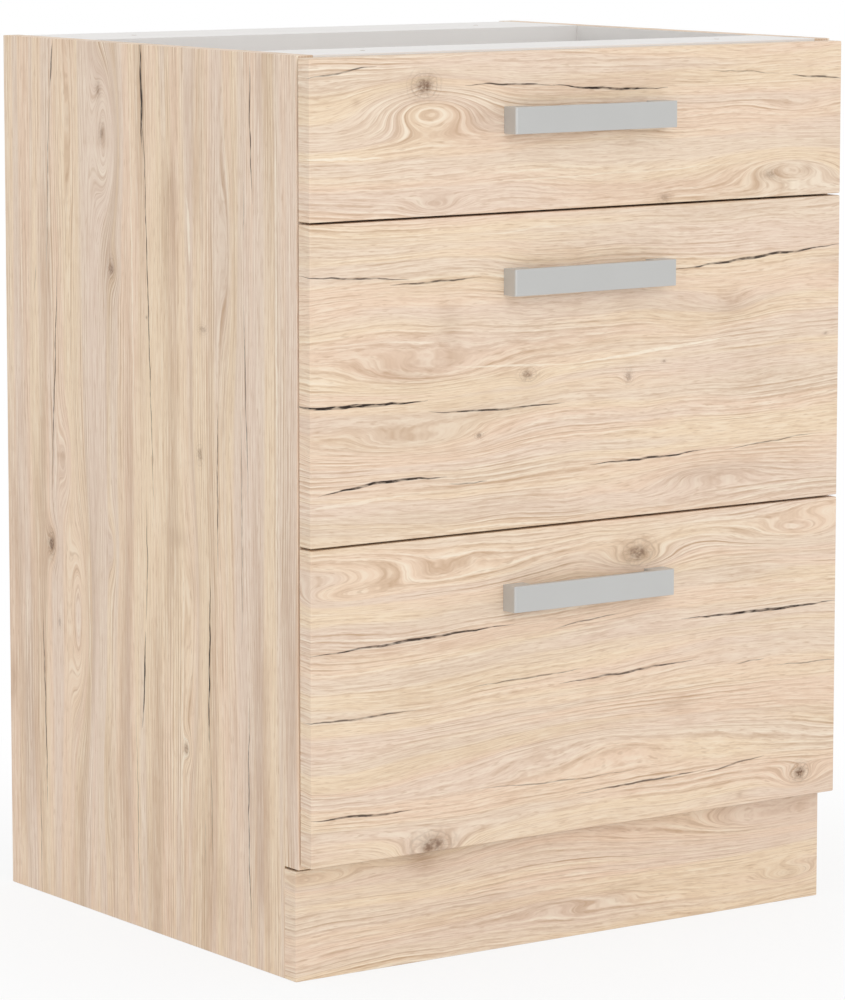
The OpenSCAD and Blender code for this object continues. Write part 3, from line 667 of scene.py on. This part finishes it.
def printed_oak_plinth(name):
    """Printed oak of the plinth, into which two knots of the lowest front reach."""
    marks = (PLINTH_SWELLS, PLINTH_STAINS, FRONT_KNOTS[2:4], (), ())
    return oak_decor(name, (0, 2), behind_face(PLINTH_FACE), marks, FRONT_SEED, strength=1.12,
                     coarse=1.2)


def printed_oak_sides(name):
    """Printed oak of the sides, with the grain upwards: straighter, greyer and more tanned."""
    marks = (SIDE_SWELLS, SIDE_STAINS, SIDE_KNOTS, SIDE_CRACKS, SIDE_STREAKS)
    return oak_decor(name, (2, 1), behind_side, marks, SIDE_SEED, strength=1.2, stretch=1.8,
                     calm=0.6, coarse=0.85, grey=0.7, tan=0.42)


def white_melamine(name):
    """Melamine-faced board, pressed with a fine pearl: a dull, even white."""
    return plain_finish(name, "white", 0.42, grain=1.2, depth=0.03, mottle=0.01)


def cut_particle_board(name):
    """Raw particle board: coarse chips, no sheen."""
    return plain_finish(name, "core", 0.9, grain=1.6, depth=0.3, mottle=0.12, specular=0.2)


def satin_silver_lacquer(name):
    """Die-cast zinc with a satin metallic lacquer: soft grey, blurred reflections."""
    return plain_finish(name, "silver", 0.38, grain=0.5, depth=0.006, mottle=0.012, metallic=0.35)


def powder_coated_steel(name):
    """Folded sheet steel with a smooth powder coat: faint orange peel, half sheen."""
    return plain_finish(name, "steel", 0.36, grain=1.6, depth=0.02, mottle=0.012)


def zinc_plated_steel(name):
    """Bright zinc plating: a cloudy metal."""
    return plain_finish(name, "zinc", 0.34, grain=0.7, depth=0.01, mottle=0.06, metallic=1.0)


def moulded_nylon(name):
    """Injection-moulded nylon: milky, with a fine spark-eroded texture."""
    return plain_finish(name, "nylon", 0.48, grain=0.4, depth=0.012, mottle=0.015)


def bare_beech(name):
    """Turned beech with short flecks: dry and matt."""
    return plain_finish(name, "beech", 0.7, grain=0.9, depth=0.05, mottle=0.08, specular=0.3)


def finish_of(make):
    """The finish that bears the name of the function that makes it, made when first asked for."""
    name = make.__name__
    return bpy.data.materials.get(name) or make(name)


def settle(piece, node, finishes):
    """Gives a new piece its finishes, and lets it stand for the node and ride on its body."""
    for make in finishes:
        piece.data.materials.append(finish_of(make))
    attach(piece, NODE_BODY[node])
    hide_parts(node)


def placed(name, data):
    """A new object in the scene."""
    thing = bpy.data.objects.new(name, data)
    bpy.context.scene.collection.objects.link(thing)
    return thing


def merged_copy(node):
    """The node's solids as one mesh without double points."""
    mesh = bmesh.new()
    mesh.from_mesh(frame["nodes"][node].data)
    bmesh.ops.remove_doubles(mesh, verts=mesh.verts, dist=MERGED)
    return mesh


def softened(node, edge, share=1.0, shortest=0.0):
    """A new piece in the node's shape, whose sharp edges get a share of the named radius."""
    radius = getattr(bpy.context.scene.cabinet_sizes, edge) * share
    mesh = merged_copy(node)
    bmesh.ops.dissolve_limit(mesh, angle_limit=ONE_FACE, verts=mesh.verts, edges=mesh.edges)
    sharp = [e for e in mesh.edges if len(e.link_faces) == 2
             and e.calc_face_angle() > CORNER and e.calc_length() >= shortest]
    bmesh.ops.bevel(mesh, geom=sharp, offset=radius, offset_type="OFFSET", segments=3,
                    profile=0.5, affect="EDGES", clamp_overlap=True)
    return shaded_piece(node + "_finished", mesh)


def shaded_piece(name, mesh):
    """A new object from a bmesh, smooth over its rounded edges and flat on its faces."""
    data = bpy.data.meshes.new(name)
    mesh.to_mesh(data)
    mesh.free()
    data.shade_smooth()
    data.set_sharp_from_angle(angle=CREASE)
    piece = placed(name, data)
    even = piece.modifiers.new("Even shading", "WEIGHTED_NORMAL")
    even.keep_sharp = True
    return plain_mesh(piece)


def plain_mesh(piece):
    """Turns a piece with modifiers into a plain mesh object of the same name."""
    bpy.context.view_layer.update()
    evaluated = piece.evaluated_get(bpy.context.evaluated_depsgraph_get())
    data = bpy.data.meshes.new_from_object(evaluated)
    piece.modifiers.clear()
    piece.data = data
    return piece


def paint_faces(piece, node, inner):
    """Gives the faces on the node's box slot 0, and those in holes and grooves slot 1.

    With an inner finish, the faces that look to the cabinet's middle get slot 2.
    """
    low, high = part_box(node)
    reach = bpy.context.scene.cabinet_sizes.board_edge
    middle = (low.x + high.x) / 2
    for face in piece.data.polygons:
        near = min(min(abs(face.center[i] - low[i]), abs(face.center[i] - high[i]))
                   for i in range(3))
        looks_in = face.normal.x * middle < 0 and abs(face.normal.x) > ACROSS
        if near > reach:
            face.material_index = 1
        else:
            face.material_index = 2 if inner and looks_in else 0


def finish_board(node, edge, share, shortest, face, inner=None):
    """Rounds a board and gives it its face, the bare core where it is cut, and an inner face."""
    piece = softened(node, edge, share, shortest)
    settle(piece, node, [face, cut_particle_board] + ([inner] if inner else []))
    paint_faces(piece, node, inner)


class PieceOperator:
    """What the operators share: those with one finish only name their nodes, edge and finish"""
    bl_options = {"REGISTER"}

    def execute(self, context):
        for node in self.nodes:
            settle(softened(node, self.edge), node, self.finishes)
        return {"FINISHED"}


class CABINET_OT_side_panels(PieceOperator, bpy.types.Operator):
    """Finishes both side panels: printed oak outside and on the edges, white inside"""
    bl_idname = "cabinet.side_panels"
    bl_label = "Side panels"

    def execute(self, context):
        for hand in HANDS:
            finish_board("side_panel_" + hand, "board_edge", 1.0, BOARD_RIM, printed_oak_sides,
                         white_melamine)
        return {"FINISHED"}


class CABINET_OT_fronts(PieceOperator, bpy.types.Operator):
    """Finishes the three drawer fronts in printed oak with the grain across"""
    bl_idname = "cabinet.fronts"
    bl_label = "Drawer fronts"

    def execute(self, context):
        for number in DRAWERS:
            finish_board(f"front_{number}", "front_edge", 1.0, BOARD_RIM, printed_oak_fronts)
        return {"FINISHED"}


class CABINET_OT_plinth(PieceOperator, bpy.types.Operator):
    """Finishes the plinth board and its corner brackets"""
    bl_idname = "cabinet.plinth"
    bl_label = "Plinth"

    def execute(self, context):
        finish_board("plinth_board", "board_edge", 1.0, BOARD_RIM, printed_oak_plinth)
        brackets = softened("plinth_brackets", "moulded_edge", shortest=BRACKET_RIM)
        settle(brackets, "plinth_brackets", [moulded_nylon])
        return {"FINISHED"}


class CABINET_OT_handles(PieceOperator, bpy.types.Operator):
    """Finishes the bar handles in satin silver lacquer"""
    bl_idname = "cabinet.handles"
    bl_label = "Handles"
    nodes = [f"handle_{number}" for number in DRAWERS]
    edge = "handle_edge"
    finishes = [satin_silver_lacquer]


class CABINET_OT_white_boards(PieceOperator, bpy.types.Operator):
    """Finishes the rails, the bottom, the back, and the boards of the drawers in white"""
    bl_idname = "cabinet.white_boards"
    bl_label = "White boards"

    def execute(self, context):
        nodes = ["front_rail", "rear_rail", "bottom_panel", "back_panel"]
        nodes += [f"drawer_{part}_{number}" for part in ("base", "back") for number in DRAWERS]
        for node in nodes:
            finish_board(node, "board_edge", WHITE_BOARD_SHARE, THIN_BOARD_RIM, white_melamine)
        return {"FINISHED"}


class CABINET_OT_steel(PieceOperator, bpy.types.Operator):
    """Finishes the folded steel: drawer sides, runners, brackets and gallery rails"""
    bl_idname = "cabinet.steel"
    bl_label = "Drawer steel"
    nodes = [f"{part}_{hand}_{number}" for part in ("drawer_side", "runner")
             for hand in HANDS for number in DRAWERS]
    nodes += [f"front_brackets_{number}" for number in DRAWERS]
    nodes += [f"gallery_rails_{number}" for number in DRAWERS[1:]]
    edge = "steel_edge"
    finishes = [powder_coated_steel]


class CABINET_OT_mouldings(PieceOperator, bpy.types.Operator):
    """Finishes the nylon rollers and the sockets of the gallery rails"""
    bl_idname = "cabinet.mouldings"
    bl_label = "Rollers and sockets"
    nodes = [f"{part}_rollers_{number}" for part in ("cabinet", "drawer") for number in DRAWERS]
    nodes += [f"gallery_holders_{number}" for number in DRAWERS[1:]]
    edge = "moulded_edge"
    finishes = [moulded_nylon]


class CABINET_OT_fittings(PieceOperator, bpy.types.Operator):
    """Finishes the cam housings, their bolts and the dowels"""
    bl_idname = "cabinet.fittings"
    bl_label = "Board fittings"
    nodes = ["cam_housings", "cam_bolts"]
    edge = "steel_edge"
    finishes = [zinc_plated_steel]

    def execute(self, context):
        super().execute(context)
        dowels = softened("wooden_dowels", "moulded_edge", DOWEL_SHARE)
        settle(dowels, "wooden_dowels", [bare_beech])
        return {"FINISHED"}


def islands(node):
    """The node's separate solids, each as a list of points."""
    mesh = merged_copy(node)
    found, seen = [], set()
    for first in mesh.verts:
        if first in seen:
            continue
        seen.add(first)
        group_points, waiting = [], [first]
        while waiting:
            vert = waiting.pop()
            group_points.append(vert.co.copy())
            for edge in vert.link_edges:
                other = edge.other_vert(vert)
                if other not in seen:
                    seen.add(other)
                    waiting.append(other)
        found.append(group_points)
    mesh.free()
    return found


def screw_seats(node):
    """For each screw of the node: the seat under its head, the way it points, and its sizes."""
    seats = []
    for points in islands(node):
        low = Vector([min(p[i] for p in points) for i in range(3)])
        high = Vector([max(p[i] for p in points) for i in range(3)])
        size = high - low
        axis = max(range(3), key=lambda i: size[i])
        middle = (low + high) / 2
        across = [i for i in range(3) if i != axis]
        head_r = size[across[0]] / 2
        levels = sorted({round(p[axis], 5) for p in points})
        reach = {z: max(math.hypot(*(p[i] - middle[i] for i in across)) for p in points
                        if round(p[axis], 5) == z) for z in levels}
        head_first = reach[levels[0]] > HEAD_SHARE * head_r
        ordered = levels if head_first else levels[::-1]
        under = next(z for z in ordered[1:] if reach[z] > HEAD_SHARE * head_r)
        tip = ordered[-1]
        seat = middle.copy()
        seat[axis] = under
        way = Vector((0, 0, 0))
        way[axis] = 1 if head_first else -1
        seats.append((seat, way, 2 * head_r, abs(under - ordered[0]), 2 * reach[tip],
                      abs(tip - under)))
    return seats


def raised(tree, mesh, height):
    """The mesh, moved up by the height."""
    up = add(tree, JOIN, {2: height})[0]
    return add(tree, "GeometryNodeTransform", {"Geometry": mesh, "Translation": up})[0]


def screw_shape(tree, given):
    """One screw along Z, with its head below: chamfered and round, with a crossed recess."""
    size = {name: add(tree, MATH, [given[whole], share], "MULTIPLY")[0]
            for name, (whole, share) in SCREW_SHARES.items()}
    crown = add(tree, MATH, [size["head"], CROWN_SHARE], "MULTIPLY")[0]
    # The head is a drum, and a cone that makes its chamfer
    drum = add(tree, "GeometryNodeMeshCylinder",
               {"Vertices": 24, "Radius": size["head"], "Depth": size["drum"]})[0]
    cone = add(tree, "GeometryNodeMeshCone",
               {"Vertices": 24, "Radius Top": size["head"], "Radius Bottom": crown,
                "Depth": size["cone"]})[0]
    shank = add(tree, "GeometryNodeMeshCylinder",
                {"Vertices": 16, "Radius": size["shank"], "Depth": given["Shank length"]})[0]
    body = add(tree, "GeometryNodeMeshBoolean", operation="UNION", solver="EXACT")[0]
    for mesh, height in ((drum, "drum middle"), (cone, "top"), (shank, "shank middle")):
        tree.links.new(raised(tree, mesh, size[height]), body.node.inputs["Mesh 2"])

    # Two crossed bars are cut out of the head
    cut = add(tree, "GeometryNodeMeshBoolean", {"Mesh 1": body}, "DIFFERENCE", solver="EXACT")[0]
    for long_axis in (0, 1):
        sides = add(tree, JOIN,
                    {long_axis: size["bar"], 1 - long_axis: given["Recess width"],
                     2: size["bar depth"]})[0]
        bar = add(tree, "GeometryNodeMeshCube", {"Size": sides})[0]
        tree.links.new(raised(tree, bar, size["top"]), cut.node.inputs["Mesh 2"])
    return cut


def screw_tree():
    """Screws, one on each point of a mesh.

    Each point's attribute way is where the screw points, and its turn is random but seeded.
    """
    tree, given, out = group(
        "Screws", [("Geometry", "Geometry"), ("Head diameter", "Float"), ("Head height", "Float"),
                   ("Shank diameter", "Float"), ("Shank length", "Float"),
                   ("Recess width", "Float"), ("Recess depth", "Float"), ("Seed", "Int"),
                   ("Finish", "Material")], ("Geometry", "Geometry"), "GeometryNodeTree")
    way = add(tree, "GeometryNodeInputNamedAttribute", {"Name": "way"}, data_type="FLOAT_VECTOR")[0]
    aim = add(tree, "FunctionNodeAlignRotationToVector", {"Vector": way}, axis="Z")[0]
    turn = add(tree, "FunctionNodeRandomValue",
               {2: 0.0, 3: math.tau, "Seed": given["Seed"]}, data_type="FLOAT")[1]
    spin = add(tree, JOIN, {2: turn})[0]
    spin = add(tree, "FunctionNodeEulerToRotation", [spin])[0]
    aim = add(tree, "FunctionNodeRotateRotation", {"Rotation": aim, "Rotate By": spin},
              rotation_space="LOCAL")[0]
    copies = add(tree, "GeometryNodeInstanceOnPoints",
                 {"Points": given["Geometry"], "Instance": screw_shape(tree, given),
                  "Rotation": aim})[0]
    real = add(tree, "GeometryNodeRealizeInstances", {"Geometry": copies})[0]
    done = add(tree, "GeometryNodeSetMaterial", {"Geometry": real, "Material": given["Finish"]})[0]
    tree.links.new(done, out[0])
    return tree


class CABINET_OT_screws(PieceOperator, bpy.types.Operator):
    """Puts a screw with a crossed recess at every screw of the frame"""
    bl_idname = "cabinet.screws"
    bl_label = "Screws"

    def execute(self, context):
        sizes = context.scene.cabinet_sizes
        tree = screw_tree()
        sockets = {s.name: s.identifier for s in tree.interface.items_tree if s.in_out == "INPUT"}
        nodes = ["plinth_screws", "back_panel_screws", "runner_screws"]
        nodes += [f"{part}_screws_{number}" for part in ("drawer", "handle") for number in DRAWERS]
        for node in nodes:
            seats = screw_seats(node)
            data = bpy.data.meshes.new(node + "_finished")
            data.from_pydata([seat[0] for seat in seats], [], [])
            way = data.attributes.new("way", "FLOAT_VECTOR", "POINT")
            way.data.foreach_set("vector", [c for seat in seats for c in seat[1]])
            piece = placed(node + "_finished", data)
            maker = piece.modifiers.new("Screws", "NODES")
            maker.node_group = tree
            given = dict(zip(("Head diameter", "Head height", "Shank diameter", "Shank length"),
                             seats[0][2:]))
            given.update({"Recess width": sizes.recess_width, "Recess depth": sizes.recess_depth,
                          "Seed": sizes.turn_seed, "Finish": finish_of(zinc_plated_steel)})
            for name, value in given.items():
                maker[sockets[name]] = value
            plain_mesh(piece)
            piece.data.set_sharp_from_angle(angle=SCREW_CREASE)
            settle(piece, node, [])
        return {"FINISHED"}


def seen_by_mirrors(tree):
    """One for the camera's own rays and for those of gloss and glass, otherwise zero."""
    rays = add(tree, "ShaderNodeLightPath")
    seen = rays["Is Camera Ray"]
    for kind in ("Is Glossy Ray", "Is Transmission Ray"):
        seen = add(tree, MATH, [seen, rays[kind]], "MAXIMUM")[0]
    return seen


def matt_floor_paint(name):
    """Matt studio paint: pale where the cabinet stands, and plain white farther off."""
    made, tree, surface = material(name)
    matt = add(tree, "ShaderNodeBsdfDiffuse",
               {"Color": bpy.context.scene.cabinet_colours.floor, "Roughness": 0.0})[0]
    white = add(tree, "ShaderNodeEmission", {"Color": (1, 1, 1, 1), "Strength": 1.0})[0]
    place = add(tree, "ShaderNodeTexCoord")["Object"]
    far = add(tree, VECTOR, [place], "LENGTH")[1]
    fade = add(tree, RANGE, [far, 0.35, 0.9, 0.8, 1.0], **SMOOTH)[0]
    share = add(tree, MATH, [fade, seen_by_mirrors(tree)], "MULTIPLY")[0]
    both = add(tree, "ShaderNodeMixShader", [share, matt, white])[0]
    tree.links.new(both, surface)
    return made


def soft_lamp(name, place, aim, size, power):
    """A square area lamp that looks from place towards aim."""
    lamp = bpy.data.lights.new(name, "AREA")
    lamp.size, lamp.energy = size, power
    holder = placed(name, lamp)
    holder.location = place
    holder.rotation_euler = (Vector(aim) - Vector(place)).to_track_quat("-Z", "Y").to_euler()


def studio_floor():
    """A wide floor a hair below the cabinet."""
    mesh = bmesh.new()
    bmesh.ops.create_grid(mesh, x_segments=2, y_segments=2, size=FLOOR_REACH)
    data = bpy.data.meshes.new("studio_floor")
    mesh.to_mesh(data)
    mesh.free()
    floor = placed("studio_floor", data)
    data.materials.append(finish_of(matt_floor_paint))
    data.transform(Matrix.Translation((0, 0, -FLOOR_DROP)))


def white_surroundings(sky):
    """A world that looks white, and lights the cabinet evenly with the strength of the sky."""
    world = bpy.data.worlds.new("white_surroundings")
    bpy.context.scene.world = world
    world.use_nodes = True
    tree = world.node_tree
    tree.nodes.clear()
    strength = add(tree, RANGE, {0: seen_by_mirrors(tree), 3: sky, 4: 1.0})[0]
    light = add(tree, "ShaderNodeBackground", {"Color": (1, 1, 1, 1), "Strength": strength})[0]
    add(tree, "ShaderNodeOutputWorld", {"Surface": light})


def studio_camera(studio):
    """The camera that takes the cabinet's picture."""
    camera = bpy.data.cameras.new("camera")
    camera.sensor_width = SENSOR
    camera.lens, camera.shift_y = studio.lens, studio.rise
    holder = placed("camera", camera)
    holder.location = studio.camera_place
    holder.rotation_euler = (math.pi / 2 - studio.camera_pitch, 0, -studio.camera_yaw)
    bpy.context.scene.camera = holder


class CABINET_OT_stage(PieceOperator, bpy.types.Operator):
    """Makes the pale floor, the white surroundings, the lamps and the camera"""
    bl_idname = "cabinet.stage"
    bl_label = "Stage"

    def execute(self, context):
        studio = context.scene.cabinet_studio
        context.scene.view_settings.view_transform = "Standard"
        studio_floor()
        white_surroundings(studio.sky)
        low, high = CAD_BOX
        for name, (place, width) in LAMPS.items():
            soft_lamp(name + "_lamp", place, (low + high) / 2, width, getattr(studio, name))
        studio_camera(studio)
        return {"FINISHED"}


OPERATORS = (
    CABINET_OT_side_panels, CABINET_OT_fronts, CABINET_OT_plinth, CABINET_OT_handles,
    CABINET_OT_white_boards, CABINET_OT_steel, CABINET_OT_mouldings, CABINET_OT_fittings,
    CABINET_OT_screws, CABINET_OT_stage,
)


class CABINET_PT_pieces(bpy.types.Panel):
    """Lists the cabinet's operators"""
    bl_idname = "CABINET_PT_pieces"
    bl_label = "Kitchen cabinet"
    bl_space_type = "VIEW_3D"
    bl_region_type = "UI"
    bl_category = "Cabinet"

    def draw(self, context):
        for operator in OPERATORS:
            self.layout.operator(operator.bl_idname)


CLASSES = (CabinetColours, CabinetSizes, CabinetStudio, *OPERATORS, CABINET_PT_pieces)
GROUPS = {"cabinet_colours": CabinetColours, "cabinet_sizes": CabinetSizes,
          "cabinet_studio": CabinetStudio}


def register():
    for cls in CLASSES:
        bpy.utils.register_class(cls)
    for name, cls in GROUPS.items():
        setattr(bpy.types.Scene, name, PointerProperty(type=cls))


def unregister():
    for name in GROUPS:
        delattr(bpy.types.Scene, name)
    for cls in reversed(CLASSES):
        bpy.utils.unregister_class(cls)


def main():
    register()
    for operator in OPERATORS:
        getattr(bpy.ops.cabinet, operator.bl_idname.split(".")[1])()


if __name__ == "__main__":
    main()
